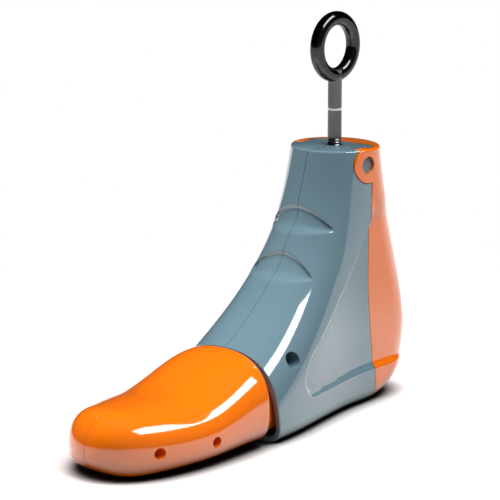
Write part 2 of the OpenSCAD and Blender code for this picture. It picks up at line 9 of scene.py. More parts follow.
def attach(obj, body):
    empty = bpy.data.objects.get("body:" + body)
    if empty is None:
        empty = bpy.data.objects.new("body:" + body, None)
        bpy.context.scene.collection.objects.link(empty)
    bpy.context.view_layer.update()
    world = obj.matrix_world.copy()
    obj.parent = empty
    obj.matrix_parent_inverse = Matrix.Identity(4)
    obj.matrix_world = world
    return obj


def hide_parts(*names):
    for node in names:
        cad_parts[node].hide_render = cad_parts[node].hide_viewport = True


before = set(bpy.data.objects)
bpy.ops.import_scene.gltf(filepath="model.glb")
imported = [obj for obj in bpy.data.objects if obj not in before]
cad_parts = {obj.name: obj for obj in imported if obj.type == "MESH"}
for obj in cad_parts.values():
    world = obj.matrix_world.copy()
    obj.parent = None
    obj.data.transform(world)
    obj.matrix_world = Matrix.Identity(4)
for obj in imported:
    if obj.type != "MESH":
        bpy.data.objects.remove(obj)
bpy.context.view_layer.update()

# Main sizes in millimetres, as in the part's source. Every form is drawn about the screw axis,
# with the toe toward -y, the heel toward +y and z up from the floor.
MM = 0.001
OVERALL_L = 256.0
BODY_H = 150.0
BALL_HALF = 38.5
ANKLE_HALF = 26.0
TOE_L = 110.0
TOE_H = 34.5
INSTEP_H = 49.0
WALL = 3.0
SHELL_PLAY = 0.4
HEEL_REACH = OVERALL_L * 0.2
JOINT_REACH = OVERALL_L - HEEL_REACH - TOE_L
SCREW_Y = OVERALL_L / 2 - HEEL_REACH
TOP_FRONT = 2 * ANKLE_HALF * 0.46
TOP_BACK = 2 * ANKLE_HALF * 0.48
HEEL_R = 2 * ANKLE_HALF * 0.46

# Half of the gap between the left and right halves, and the rounding of its edges
SEAM_X = 0.15
SEAM_R = 0.06

# Round ears of the heel and the pins they turn on
EAR_Y = -1.5
EAR_Z = BODY_H - 9.0
EAR_R = 10.2
EAR_HOLE_R = 5.0
EAR_INNER_X = 20.0
EAR_CUT_X = 19.0
EAR_STAND = 0.35
PIN_INNER_X = 12.0

# Screw, its guide bush and the hollow it runs down into
SCREW_R = 4.0
SCREW_HOLE_R = SCREW_R + 0.6
SCREW_WELL = 46.0
BUSH_TOP = BODY_H - WALL - 1.0
BUSH_L = 12.0
BUSH_R = 5.22

# Holes in the side of the body and of the toe
FLANK_HOLE_R = 4.5
FLANK_HOLE_X = 16.0
FLANK_HOLE_Y = -0.796 * JOINT_REACH
FLANK_HOLE_Z = 43.5
PLUG_HOLE_R = 3.0
PLUG_HOLE_X = 12.0
PLUG_HOLES = [(-(JOINT_REACH + 49), 14.0), (-(JOINT_REACH + 85), 15.0)]


# Small curves that the forms are made of; limit keeps a value between 0 and 1
def limit(t):
    return np.clip(t, 0.0, 1.0)


def ease(t):
    c = limit(t)
    return c * c * (3 - 2 * c)


def crown(t, n):
    return (1 - (1 - limit(t)) ** n) ** (1 / n)


def arch(t, n):
    return np.maximum(0.0, 1 - np.maximum(0.0, t) ** n) ** (1 / n)


def mix(a, b, t):
    return a + (b - a) * t


# Instep curve in the middle plane and the back of the heel
INSTEP_RUN = JOINT_REACH - TOP_FRONT
INSTEP_STRAIGHT = 0.37
INSTEP_CURVED = 0.63
HEEL_BULGE_Z = 42.0
HEEL_DROP = 24.0
HEEL_STRAIGHT = 0.55
HEEL_CURVED = 0.45


def front_y(z):
    s = (BODY_H - z) / (BODY_H - INSTEP_H)
    return -(TOP_FRONT + INSTEP_RUN * (INSTEP_STRAIGHT * s + INSTEP_CURVED * np.maximum(0.0, s) ** 3))


def front_stretch(z):
    s = (BODY_H - z) / (BODY_H - INSTEP_H)
    slope = INSTEP_RUN * (INSTEP_STRAIGHT + 3 * INSTEP_CURVED * s * s) / (BODY_H - INSTEP_H)
    return np.sqrt(1 + slope ** 2)


def back_y(z):
    u = (BODY_H - z) / (BODY_H - HEEL_BULGE_Z)
    v = limit((HEEL_BULGE_Z - z) / (HEEL_BULGE_Z + 1))
    above = mix(TOP_BACK, HEEL_REACH, HEEL_STRAIGHT * u + HEEL_CURVED * ease(u))
    below = HEEL_REACH - HEEL_DROP * (1 - np.sqrt(1 - v * v))
    return np.where(z > HEEL_BULGE_Z, above, below)


# Joint lines from body to heel and from body to toe
JOINT_TOP_Y = 2.0
JOINT_LEAN = 6.0
JOINT_LEAN_Z = 80.0
LIP_LEAN = 2.5


def joint_y(z):
    return JOINT_TOP_Y + JOINT_LEAN * ease((JOINT_LEAN_Z - z) / JOINT_LEAN_Z)


def lip_y(z):
    return -JOINT_REACH + LIP_LEAN * (1 - z / INSTEP_H)


# Side panel: sunk behind a curved edge and above a ledge over the sole, fading out at top and back
PANEL_DEPTH = 2.0
PANEL_EDGE_W = 2.5
PANEL_START_Y = -0.7 * JOINT_REACH
PANEL_RUN_Y = 0.66 * JOINT_REACH
PANEL_START_Z = 18.0
PANEL_RUN_Z = 91.0

# The panel's edge swings forward at its foot, back at its head, and back again at the lower corner
FOOT_SHIFT = 5.5
FOOT_Z = 58.0
FOOT_RUN = 20.0
HEAD_SHIFT = 6.8
HEAD_Z = 99.0
HEAD_RUN = 12.0
CORNER_SHIFT = 11.0
CORNER_Z = 34.0
CORNER_RUN = 14.0

# The ledge softens toward the back, and the panel fades out below the top and round the heel
LEDGE_H = 19.3
LEDGE_W = 0.8
LEDGE_W_GROW = 4.0
LEDGE_START_Y = -56.0
LEDGE_RUN = 66.0
PANEL_TOP_Z = BODY_H - 28
PANEL_TOP_FADE = 16.0
PANEL_BACK_Y = 28.0
PANEL_BACK_FADE = 20.0
PANEL_BACK_SHARE = 0.7


def panel_edge(z):
    edge = PANEL_START_Y + PANEL_RUN_Y * ease((z - PANEL_START_Z) / PANEL_RUN_Z)
    foot = FOOT_SHIFT * ease((FOOT_Z - z) / FOOT_RUN)
    head = HEAD_SHIFT * ease((z - HEAD_Z) / HEAD_RUN)
    corner = CORNER_SHIFT * (np.maximum(0, CORNER_Z - z) / CORNER_RUN) ** 2
    return edge - foot + head + corner


def panel(y, z):
    behind_edge = ease((y - panel_edge(z)) / PANEL_EDGE_W)
    ledge_w = LEDGE_W + LEDGE_W_GROW * ease((y - LEDGE_START_Y) / LEDGE_RUN)
    over_ledge = ease((z - LEDGE_H) / ledge_w)
    at_back = PANEL_BACK_SHARE * ease((y - PANEL_BACK_Y) / PANEL_BACK_FADE)
    fade = ease((PANEL_TOP_Z - z) / PANEL_TOP_FADE) * (1 - at_back)
    return PANEL_DEPTH * behind_edge * over_ledge * fade


# Half width of body and heel, with off as the depth below the skin
SOLE_R = 9.0
SOLE_R_BACK = 20.0
SOLE_RUN = 40.0
BALL_RUN_Z = 70.0
TURN_GROW = 6.0
TURN_RUN_Z = 60.0
TURN_POWER = 2.0
TURN_POWER_GROW = 0.3
TURN_POWER_RUN_Z = 90.0


def sole_round(y, z, off):
    r = mix(SOLE_R, SOLE_R_BACK, ease(y / SOLE_RUN)) - off
    t = limit((z - off) / r)
    return np.where(z - off < r, r * (1 - np.sqrt(1 - (1 - t) ** 2)), 0.0)


def shell_half(y, z, off=0.0):
    down = BODY_H - z
    side = ANKLE_HALF + (BALL_HALF - ANKLE_HALF) * ease(-y / JOINT_REACH) * ease(down / BALL_RUN_Z)
    turn = TOP_FRONT + TURN_GROW * ease(down / TURN_RUN_Z) - off
    power = TURN_POWER + TURN_POWER_GROW * ease(down / TURN_POWER_RUN_Z)
    in_front = (y - front_y(z)) / front_stretch(z) - off
    in_back = back_y(z) - y - off
    width = side - panel(y, z) - off - sole_round(y, z, off)
    return width * crown(in_front / turn, power) * crown(in_back / (HEEL_R - off), 2)


def inner_half(y, z, off):
    return np.maximum(SEAM_X, np.minimum(shell_half(y, z, off), shell_half(y, z) - off))


# Tongue of the body that reaches back inside the heel
TONGUE_INSET = WALL + 3 * SHELL_PLAY
TONGUE_TOP_Y = 11.0
TONGUE_GROW = 10.0
TONGUE_GROW_Z = BODY_H - 20
TONGUE_GROW_RUN = 45.0
TONGUE_FOOT_IN = 3.5
TONGUE_FOOT_Z = 10.0


def tongue_y(z):
    return TONGUE_TOP_Y + TONGUE_GROW * ease((TONGUE_GROW_Z - z) / TONGUE_GROW_RUN)


def tongue_half(y, z):
    foot = TONGUE_FOOT_IN * (1 - ease(z / TONGUE_FOOT_Z))
    return np.maximum(SEAM_X, inner_half(y, z, TONGUE_INSET) - foot)


# Finger grooves on the instep: how far the skin is pushed back at a point
GROOVE_DEPTH = 2.0
GROOVE_HALF_L = 23.0
GROOVE_HALF_H = 8.4
GROOVE_SAG = 5.3
GROOVE_UPPER_EASE = 0.35
GROOVE_LOWER_EASE = 0.8
GROOVE_END_STEEP = 3
GROOVE_Z = [INSTEP_H + k * (BODY_H - INSTEP_H) for k in (0.62, 0.375)]


def groove(x, z, mid_z):
    u = x / GROOVE_HALF_L
    half_h = GROOVE_HALF_H * np.maximum(0.01, 1 - u * u)
    t = (z - mid_z + GROOVE_SAG * u * u) / half_h
    upper = ease((1 - t) / GROOVE_UPPER_EASE)
    lower = ease((1 + t) / GROOVE_LOWER_EASE)
    ends = ease(GROOVE_END_STEEP * (1 - u * u))
    return GROOVE_DEPTH * upper * lower * ends


def grooves(x, z):
    return sum(groove(x, z, mid_z) for mid_z in GROOVE_Z)


# Toe: top line, bottom line, plan and section
TOE_TIP_Z = 15.5
NOSE_START = 0.8
NOSE_SHARE = 0.2
NOSE_POWER = 2.2
SLOPE_SHARE = 0.62
SLOPE_POWER = 1.6
PLAN_NOSE_L = 75.0
PLAN_POWER = 2.3
WIDEST_SHARE = 0.42
UPPER_POWER = 2.4
LOWER_POWER = 3.2
EDGE_BOW = 5.5
EDGE_LEAN = 1.5


def toe_s(y):
    return limit((-JOINT_REACH - y) / TOE_L)


def nose_round(y):
    t = np.maximum(0, (toe_s(y) - NOSE_START) / NOSE_SHARE)
    return np.sqrt(np.maximum(0, 1 - t ** NOSE_POWER))


def toe_top(y):
    back = TOE_H + (INSTEP_H - TOE_H) * (1 - ease(toe_s(y) / SLOPE_SHARE)) ** SLOPE_POWER
    return TOE_TIP_Z + (back - TOE_TIP_Z) * nose_round(y)


def toe_bottom(y):
    return TOE_TIP_Z * (1 - nose_round(y))


def toe_half(y, z):
    top = toe_top(y)
    bottom = toe_bottom(y)
    mid = mix(bottom, top, WIDEST_SHARE)
    up = (z - mid) / np.maximum(0.01, top - mid)
    down = (mid - z) / np.maximum(0.01, mid - bottom)
    into_nose = limit((toe_s(y) * TOE_L - (TOE_L - PLAN_NOSE_L)) / PLAN_NOSE_L)
    plan = BALL_HALF * arch(into_nose, PLAN_POWER)
    return plan * np.where(z > mid, arch(up, UPPER_POWER), arch(down, LOWER_POWER))


def toe_edge_shift(x, z):
    return -EDGE_BOW * (x / BALL_HALF) ** 2 - EDGE_LEAN * (1 - z / INSTEP_H)


# Path tools: even steps along a path, with both ends rolled over like a moulded edge
ROLL_STEPS = 5


def rolled(path, n, r_start, r_end):
    length = np.concatenate([[0], np.cumsum(np.hypot(*np.diff(path, axis=0).T))])
    total = length[-1]
    r_start = min(r_start, total / 4)
    r_end = min(r_end, total / 4)

    def at(s):
        return np.stack([np.interp(s, length, path[:, 0]), np.interp(s, length, path[:, 1])], axis=-1)

    middle = at(np.linspace(r_start, total - r_end, n))
    out_start = at(0.0) - at(r_start)
    out_end = at(total) - at(total - r_end)
    turn = np.linspace(0, math.pi / 2, ROLL_STEPS + 1)[1:, None]

    def roll(edge, out, side):
        out = out / max(1e-9, np.hypot(*out))
        into = side * np.array([out[1], -out[0]])
        r = r_start if side > 0 else r_end
        return edge - out * r * (1 - np.sin(turn)) + into * r * (1 - np.cos(turn))

    first = roll(at(0.0), out_start, 1)[::-1]
    last = roll(at(total), out_end, -1)
    return np.concatenate([first, middle, last])


def line(a, b, n):
    return np.array(a) + (np.array(b) - np.array(a)) * np.linspace(0, 1, n)[:, None]


def at_height(loop, z):
    return np.column_stack([loop, np.full(len(loop), z)])


# Mesh tools
def new_object(name, mesh):
    data = bpy.data.meshes.new(name)
    mesh.to_mesh(data)
    mesh.free()
    obj = bpy.data.objects.new(name, data)
    bpy.context.scene.collection.objects.link(obj)
    return obj


def loft(name, loops, cap=True):
    """Closed mesh through loops of points in millimetres, drawn about the screw axis."""
    mesh = bmesh.new()
    rows = []
    for loop in loops:
        rows.append([mesh.verts.new((x * MM, (y + SCREW_Y) * MM, z * MM)) for x, y, z in loop])
    for low, high in zip(rows, rows[1:]):
        n = len(low)
        for k in range(n):
            mesh.faces.new((low[k], low[(k + 1) % n], high[(k + 1) % n], high[k]))
    if cap:
        mesh.faces.new(rows[0][::-1])
        mesh.faces.new(rows[-1])
    bmesh.ops.remove_doubles(mesh, verts=mesh.verts, dist=2e-6)
    bmesh.ops.dissolve_degenerate(mesh, edges=mesh.edges, dist=1e-6)
    bmesh.ops.recalc_face_normals(mesh, faces=mesh.faces)
    return new_object(name, mesh)


def mirrored(obj, name):
    data = obj.data.copy()
    data.transform(Matrix.Scale(-1, 4, (1, 0, 0)))
    data.flip_normals()
    other = bpy.data.objects.new(name, data)
    bpy.context.scene.collection.objects.link(other)
    return other


# Where a cutter ends that has to pass through the skin or the top, and the number of its sides
PAST_SKIN = 60.0
PAST_TOP_Z = BODY_H + 20.0
CUTTER_SIDES = 96


def cylinder(r, start, end):
    """Cutter between two points in millimetres, about the screw axis."""
    a = Vector((start[0], start[1] + SCREW_Y, start[2])) * MM
    b = Vector((end[0], end[1] + SCREW_Y, end[2])) * MM
    mesh = bmesh.new()
    turn = (b - a).to_track_quat("Z", "Y").to_matrix().to_4x4()
    bmesh.ops.create_cone(mesh, cap_ends=True, segments=CUTTER_SIDES, radius1=r * MM, radius2=r * MM,
                          depth=(b - a).length, matrix=Matrix.Translation((a + b) / 2) @ turn)
    return new_object("cutter", mesh)


def side_hole(r, x, y, z):
    """Cutter that starts at x and leaves through the skin on the same side."""
    return cylinder(r, (x, y, z), (math.copysign(PAST_SKIN, x), y, z))


def cut(obj, cutters):
    for cutter in cutters:
        step = obj.modifiers.new("cut", "BOOLEAN")
        step.operation = "DIFFERENCE"
        step.solver = "EXACT"
        step.object = cutter
    bpy.context.view_layer.update()
    done = bpy.data.meshes.new_from_object(obj.evaluated_get(bpy.context.evaluated_depsgraph_get()))
    obj.modifiers.clear()
    obj.data = done
    for cutter in cutters:
        bpy.data.objects.remove(cutter)


def smooth(obj, angle=32):
    for face in obj.data.polygons:
        face.use_smooth = True
    obj.data.set_sharp_from_angle(angle=math.radians(angle))


# Rows of body and heel: close together at the sole, with a rounded edge at the top
TOP_R = 0.9
TOP_TURN = np.linspace(0, math.pi / 2, 6)
SOLE_TURN = np.linspace(0, math.pi / 2, 16)
ROW_STEP = 1.0


def row_heights(extra):
    sole = SOLE_R * (1 - np.cos(SOLE_TURN))
    rows = np.concatenate([sole, np.arange(SOLE_R, BODY_H - TOP_R, ROW_STEP), extra])
    return np.unique(np.round(rows[rows < BODY_H - TOP_R], 4))


def with_top(loop_at, heights):
    rows = [loop_at(z, 0.0) for z in heights]
    for a in TOP_TURN:
        rows.append(loop_at(BODY_H - TOP_R + TOP_R * math.sin(a), TOP_R * (1 - math.cos(a))))
    return rows


# Body half: skin with rolled edges, pocket behind the lip for the toe's neck, tongue into the heel
SKIN_STEPS = 120
SKIN_TURN = np.linspace(0, math.pi / 2, 300)
LIP_R = 0.9
JOINT_R = 0.35
GROOVE_CLEAR = 12.0
POCKET = 24.0
POCKET_FADE = 4.0
POCKET_STEPS = 8
FLOOR_PLATE_STEP = 0.05
TONGUE_STEPS = 5


def body_skin(z, off):
    y0 = max(front_y(z) + off * front_stretch(z), lip_y(z))
    y1 = joint_y(z)
    y = mix(y0, y1, 1 - np.cos(SKIN_TURN))
    x = np.maximum(SEAM_X, shell_half(y, z, off))
    edge_r = LIP_R
    if z >= INSTEP_H:
        x[0] = SEAM_X
        edge_r = SEAM_R
    y = y + grooves(x, z) * ease((y1 - y) / GROOVE_CLEAR)
    return y[0], rolled(np.stack([x, y], axis=1), SKIN_STEPS, edge_r, JOINT_R)


def body_pocket(z, front, edge):
    depth = POCKET * float(limit((INSTEP_H - z) / POCKET_FADE) * limit((z - WALL) / FLOOR_PLATE_STEP))
    if depth == 0:
        y = np.full(POCKET_STEPS, edge[1])
        x = np.full(POCKET_STEPS, SEAM_X)
    else:
        y = front + depth * np.linspace(1, 0, POCKET_STEPS)
        x = np.minimum(inner_half(y, z, WALL), max(SEAM_X, edge[0]))
    return np.concatenate([[[SEAM_X, y[0]]], np.stack([x, y], axis=1)])


def body_tongue(z):
    end = tongue_y(z)
    y = np.linspace(joint_y(z), end, TONGUE_STEPS)
    side = np.stack([tongue_half(y, z), y], axis=1)
    return np.concatenate([side, [[SEAM_X, end]]])


def body_loop(z, off):
    front, skin = body_skin(z, off)
    return at_height(np.concatenate([body_pocket(z, front, skin[0]), skin, body_tongue(z)]), z)


lip_rows = INSTEP_H - np.array([0.0, 0.02, 0.1, 0.3, 0.6, 1.5, 2.5])
plate_rows = [WALL, WALL + FLOOR_PLATE_STEP]
groove_rows = np.arange(76, 118, 0.5)
body_rows = row_heights(np.concatenate([lip_rows, plate_rows, groove_rows]))
body_right = loft("body_shell_right", with_top(body_loop, body_rows))
cut(body_right, [
    side_hole(EAR_R + SHELL_PLAY, EAR_INNER_X - SHELL_PLAY, EAR_Y, EAR_Z),
    side_hole(EAR_HOLE_R, PIN_INNER_X, EAR_Y, EAR_Z),
    cylinder(BUSH_R, (0, 0, BUSH_TOP - BUSH_L), (0, 0, BUSH_TOP)),
    cylinder(SCREW_HOLE_R, (0, 0, BUSH_TOP - SCREW_WELL), (0, 0, PAST_TOP_Z)),
])
body_left = mirrored(body_right, "body_shell_left")
cut(body_right, [side_hole(FLANK_HOLE_R, FLANK_HOLE_X, FLANK_HOLE_Y, FLANK_HOLE_Z)])
smooth(body_right)
smooth(body_left)

# Heel: skin from the right joint round the back to the left, reaching forward as a round ear
HEEL_GAP = 0.3
HEEL_GAP_GROW = 0.1
HEEL_EDGE_R = 0.5
HEEL_MIDDLE_R = 0.001
SWELL_R = 24.0
SWELL_RUN = 13.0
SWELL_END_POWER = 8
PLATE_GAP = 1.2
LINING_STEPS = 24
ACROSS_STEPS = 5


def heel_joint(z):
    return joint_y(z) + HEEL_GAP + HEEL_GAP_GROW * max(0, z - EAR_Z)


def heel_front(z):
    reach = EAR_R ** 2 - (z - EAR_Z) ** 2
    return min(heel_joint(z), EAR_Y - math.sqrt(reach)) if reach > 0 else heel_joint(z)


def heel_skin(z, off):
    y0 = heel_front(z)
    y1 = back_y(z) - off
    y = mix(y0, y1, np.sin(SKIN_TURN))
    swell = EAR_STAND * ease((SWELL_R - np.hypot(y - EAR_Y, z - EAR_Z)) / SWELL_RUN)
    taper = 1 - ((y - y0) / (y1 - y0)) ** SWELL_END_POWER
    x = np.maximum(0.0, shell_half(y, z, off) + swell * taper)
    x[-1] = 0.0
    return rolled(np.stack([x, y], axis=1), SKIN_STEPS, HEEL_EDGE_R, HEEL_MIDDLE_R)[:-ROLL_STEPS]


def heel_lining(z):
    y0 = heel_front(z)
    joint = heel_joint(z)
    in_plate = z <= WALL or z >= BODY_H - WALL
    y_end = tongue_y(z) + PLATE_GAP if in_plate else back_y(z) - WALL
    ear_x = EAR_INNER_X if y0 < joint else float(inner_half(y0, z, WALL))
    y = np.linspace(joint, y_end, LINING_STEPS)
    lining = np.stack([inner_half(y, z, WALL), y], axis=1)
    across = line([lining[-1][0], y_end], [0, y_end], ACROSS_STEPS)
    return np.concatenate([[[ear_x, y0], [ear_x, joint]], lining, across])


def heel_loop(z, off):
    right = np.concatenate([heel_skin(z, off)[::-1], heel_lining(z)])
    left = right[::-1] * [-1, 1]
    return at_height(np.concatenate([right, left[1:-1]]), z)


ear_rows = EAR_Z - EAR_R * np.cos(np.linspace(0, math.pi / 2, 14))
plate_rows = [WALL, WALL + 0.02, BODY_H - WALL - 0.02, BODY_H - WALL]
heel_rows = row_heights(np.concatenate([ear_rows - 0.01, ear_rows + 0.01, plate_rows]))
heel = loft("heel_shell", with_top(heel_loop, heel_rows))
cut(heel, [side_hole(EAR_HOLE_R, side * EAR_CUT_X, EAR_Y, EAR_Z) for side in (1, -1)])
smooth(heel)

# Toe half: sections from the tip back to the rolled rear edge, in again, and back along the neck
SECTION_STEPS = 90
SECTION_SHARE = (1 - np.cos(np.linspace(0, math.pi, 240))) / 2
TIP_TURN = np.linspace(math.pi / 2 - 0.02, 0, 110)
EDGE_TURN = np.linspace(0.15, math.pi / 2, 8)
TOE_EDGE_R = 1.1
REAR_WALL_L = 8.0
REAR_WALL_FADE = 0.6
NECK_INSET = 5.5
NECK_TOP_Z = 42.7
NECK_PLAY = 0.5
NECK_SEAM_X = SEAM_X + 0.4
NECK_START_Y = -JOINT_REACH - 9.5
NECK_END_Y = -(JOINT_REACH - 9) + 2.5


def toe_section(y, inset, fade):
    bottom = toe_bottom(y)
    top = toe_top(y)
    z0 = bottom + inset
    z1 = top - inset
    mid = (z0 + z1) / 2
    z = mix(z0, z1, SECTION_SHARE)
    scale_up = (top - mid) / max(0.01, z1 - mid)
    scale_down = (mid - bottom) / max(0.01, mid - z0)
    full_z = mid + (z - mid) * np.where(z > mid, scale_up, scale_down)
    x = np.maximum(SEAM_X, toe_half(y, full_z) - inset)
    x[[0, -1]] = SEAM_X
    path = rolled(np.stack([x, z], axis=1), SECTION_STEPS, SEAM_R, SEAM_R)
    shift = fade * toe_edge_shift(path[:, 0], path[:, 1])
    return np.column_stack([path[:, 0], y + shift, path[:, 1]])


def neck_section(y):
    z = mix(NECK_INSET, NECK_TOP_Z, SECTION_SHARE)
    body = shell_half(max(y, lip_y(0)), z, NECK_INSET + NECK_PLAY)
    x = np.maximum(NECK_SEAM_X, np.minimum(toe_half(-JOINT_REACH, z) - NECK_INSET, body))
    x[[0, -1]] = NECK_SEAM_X
    path = rolled(np.stack([x, z], axis=1), SECTION_STEPS, SEAM_R, SEAM_R)
    return np.column_stack([path[:, 0], np.full(len(path), y), path[:, 1]])


def toe_sections():
    rows = []
    for t in np.sin(TIP_TURN):
        y = -JOINT_REACH - TOE_EDGE_R - (TOE_L - TOE_EDGE_R) * t
        rows.append(toe_section(y, 0.0, (1 - t) ** 4))
    for a in EDGE_TURN:
        y = -JOINT_REACH - TOE_EDGE_R * (1 - math.sin(a))
        rows.append(toe_section(y, TOE_EDGE_R * (1 - math.cos(a)), 1.0))
    rows.append(toe_section(-JOINT_REACH, WALL, 1.0))
    rows.append(toe_section(-JOINT_REACH - REAR_WALL_L, WALL, REAR_WALL_FADE))
    rows.append(neck_section(NECK_START_Y))
    rows.append(neck_section(-JOINT_REACH))
    rows.append(neck_section(NECK_END_Y))
    return rows


toe_right = loft("toe_shell_right", toe_sections())
cut(toe_right, [side_hole(PLUG_HOLE_R, PLUG_HOLE_X, y, z) for y, z in PLUG_HOLES])
toe_left = mirrored(toe_right, "toe_shell_left")
smooth(toe_right)
smooth(toe_left)

# Eye screw: ring, shank with the groove for its marker ring, and the top of the thread
RING_BAR_R = 4.1
RING_R = 12.0 + RING_BAR_R
RING_Z = BODY_H + 36.0 + RING_R + RING_BAR_R
RING_STEPS = 128
RING_BAR_STEPS = 48
SHANK_SIDES = 72
SHANK_LOW_Z = 66.0
SHANK_TOP_Z = RING_Z - 13.0
THREAD_ROWS_Z = 128.0
THREAD_LOW_Z = 129.0
THREAD_TOP_Z = BODY_H + 4.5
THREAD_PITCH = 1.5
THREAD_DEPTH = 0.55
THREAD_RUN_OUT = 0.8
THREAD_RUN_IN = 2.0
THREAD_CLEAR = 0.5
LOW_STEP = 8.0
THREAD_STEP = 0.12
HIGH_STEP = 4.0
MARK_Z = BODY_H + 20.0
MARK_H = 1.2
MARK_DEPTH = 0.45
MARK_EDGE = 0.02


def shank_heights():
    mark = [MARK_Z - MARK_EDGE, MARK_Z, MARK_Z + MARK_H, MARK_Z + MARK_H + MARK_EDGE]
    thread_end = THREAD_TOP_Z + THREAD_CLEAR
    return np.unique(np.concatenate([
        np.arange(SHANK_LOW_Z, THREAD_ROWS_Z, LOW_STEP),
        np.arange(THREAD_ROWS_Z, thread_end, THREAD_STEP),
        np.arange(thread_end, SHANK_TOP_Z, HIGH_STEP),
        mark,
        [SHANK_TOP_Z],
    ]))


def shank_loops():
    turn = np.linspace(0, 2 * math.pi, SHANK_SIDES + 1)[:-1]
    rows = []
    for z in shank_heights():
        phase = (z / THREAD_PITCH - turn / (2 * math.pi)) % 1.0
        tooth = np.abs(2 * phase - 1)
        run_out = limit((THREAD_TOP_Z - z) / THREAD_RUN_OUT)
        run_in = limit((z - THREAD_LOW_Z) / THREAD_RUN_IN)
        mark = MARK_DEPTH if MARK_Z <= z <= MARK_Z + MARK_H else 0.0
        r = SCREW_R - THREAD_DEPTH * (1 - tooth) * float(run_out * run_in) - mark
        rows.append(at_height(np.column_stack([r * np.cos(turn), r * np.sin(turn)]), z))
    return rows


def ring_loops():
    around = np.linspace(0, 2 * math.pi, RING_STEPS + 1)[:-1]
    bar = np.linspace(0, 2 * math.pi, RING_BAR_STEPS + 1)[:-1]
    out = RING_R + RING_BAR_R * np.cos(bar)
    rows = []
    for a in np.append(around, 0.0):
        z = RING_Z + out * math.cos(a)
        rows.append(np.column_stack([RING_BAR_R * np.sin(bar), out * math.sin(a), z]))
    return rows


screw = loft("screw_shank", shank_loops())
smooth(screw, angle=50)
ring = loft("screw_ring", ring_loops(), cap=False)
smooth(ring, angle=80)


# Materials
NOISE_LOW = 0.35
NOISE_HIGH = 0.65
FLOW_SCALE = 9.0
GLOSS_SCALE = 30.0
PEEL_SCALE = 55.0
PEEL_STRENGTH = 0.02
PEEL_DISTANCE = 0.0004
COAT_ROUGHNESS = 0.04
PLATING_SCALE = 60.0
POLISH_SCALE = 90.0
DRAWN_SCALE = 900.0
DRAWN_STRENGTH = 0.03
DRAWN_DISTANCE = 0.0002


def new_material(name):
    material = bpy.data.materials.new(name)
    material.use_nodes = True
    tree = material.node_tree
    return material, tree, tree.nodes["Principled BSDF"]


def noise_at(tree, source, scale, detail):
    noise = tree.nodes.new("ShaderNodeTexNoise")
    noise.inputs["Scale"].default_value = scale
    noise.inputs["Detail"].default_value = detail
    tree.links.new(source, noise.inputs["Vector"])
    return noise.outputs["Fac"]


def bump(tree, shader, height, strength, distance):
    lift = tree.nodes.new("ShaderNodeBump")
    lift.inputs["Strength"].default_value = strength
    lift.inputs["Distance"].default_value = distance
    tree.links.new(height, lift.inputs["Height"])
    tree.links.new(lift.outputs["Normal"], shader.inputs["Normal"])


def vary(tree, where, socket, low, high, scale):
    """Value or colour that drifts a little over the surface."""
    ramp = tree.nodes.new("ShaderNodeValToRGB")
    ramp.color_ramp.elements[0].position = NOISE_LOW
    ramp.color_ramp.elements[1].position = NOISE_HIGH
    ramp.color_ramp.elements[0].color = low
    ramp.color_ramp.elements[1].color = high
    tree.links.new(noise_at(tree, where, scale, 4.0), ramp.inputs["Fac"])
    tree.links.new(ramp.outputs["Color"], socket)


def grey(v):
    return (v, v, v, 1.0)


def shaded(color, share):
    return tuple(min(1.0, c * share) for c in color) + (1.0,)


def plastic(name, color, roughness, coat=0.0):
    """Glossy moulded plastic: faint flow marks in colour, fine orange peel and drifting gloss."""
    material, tree, shader = new_material(name)
    where = tree.nodes.new("ShaderNodeTexCoord").outputs["Object"]
    bump(tree, shader, noise_at(tree, where, PEEL_SCALE, 3.0), PEEL_STRENGTH, PEEL_DISTANCE)
    vary(tree, where, shader.inputs["Base Color"], shaded(color, 0.975), shaded(color, 1.02), FLOW_SCALE)
    vary(tree, where, shader.inputs["Roughness"], grey(roughness * 0.85), grey(roughness * 1.2), GLOSS_SCALE)
    shader.inputs["Coat Weight"].default_value = coat
    shader.inputs["Coat Roughness"].default_value = COAT_ROUGHNESS
    return material


def metal(name, color, roughness, drawn=(1.0, 1.0, 1.0)):
    """Plated or bare steel with fine drawing lines along the part."""
    material, tree, shader = new_material(name)
    where = tree.nodes.new("ShaderNodeTexCoord").outputs["Object"]
    stretch = tree.nodes.new("ShaderNodeMapping")
    stretch.inputs["Scale"].default_value = drawn
    tree.links.new(where, stretch.inputs["Vector"])
    lines = noise_at(tree, stretch.outputs["Vector"], DRAWN_SCALE, 2.0)
    bump(tree, shader, lines, DRAWN_STRENGTH, DRAWN_DISTANCE)
    vary(tree, where, shader.inputs["Base Color"], shaded(color, 0.9), shaded(color, 1.1), PLATING_SCALE)
    vary(tree, where, shader.inputs["Roughness"], grey(roughness * 0.8), grey(roughness * 1.3), POLISH_SCALE)
    shader.inputs["Metallic"].default_value = 1.0
    return material


GREY_PLASTIC = plastic("grey_gloss_plastic", (0.155, 0.255, 0.305), 0.10, coat=1.0)
ORANGE_PLASTIC = plastic("orange_gloss_plastic", (0.98, 0.19, 0.004), 0.10, coat=1.0)
DARK_CHROME = metal("dark_plated_steel", (0.055, 0.055, 0.060), 0.10)
DARK_SHANK = metal("dark_drawn_steel", (0.15, 0.15, 0.155), 0.32, (1.0, 1.0, 0.05))
BRIGHT_STEEL = metal("plain_steel", (0.60, 0.61, 0.63), 0.28)
WHITE_BAND = plastic("white_band_plastic", (0.92, 0.92, 0.91), 0.35)
BLACK_BUSH = plastic("black_bush_plastic", (0.02, 0.02, 0.025), 0.30)
PALE_PLASTIC = plastic("pale_drive_plastic", (0.78, 0.76, 0.70), 0.40)
PIN_GREY = plastic("grey_pin_plastic", (0.14, 0.18, 0.20), 0.30)

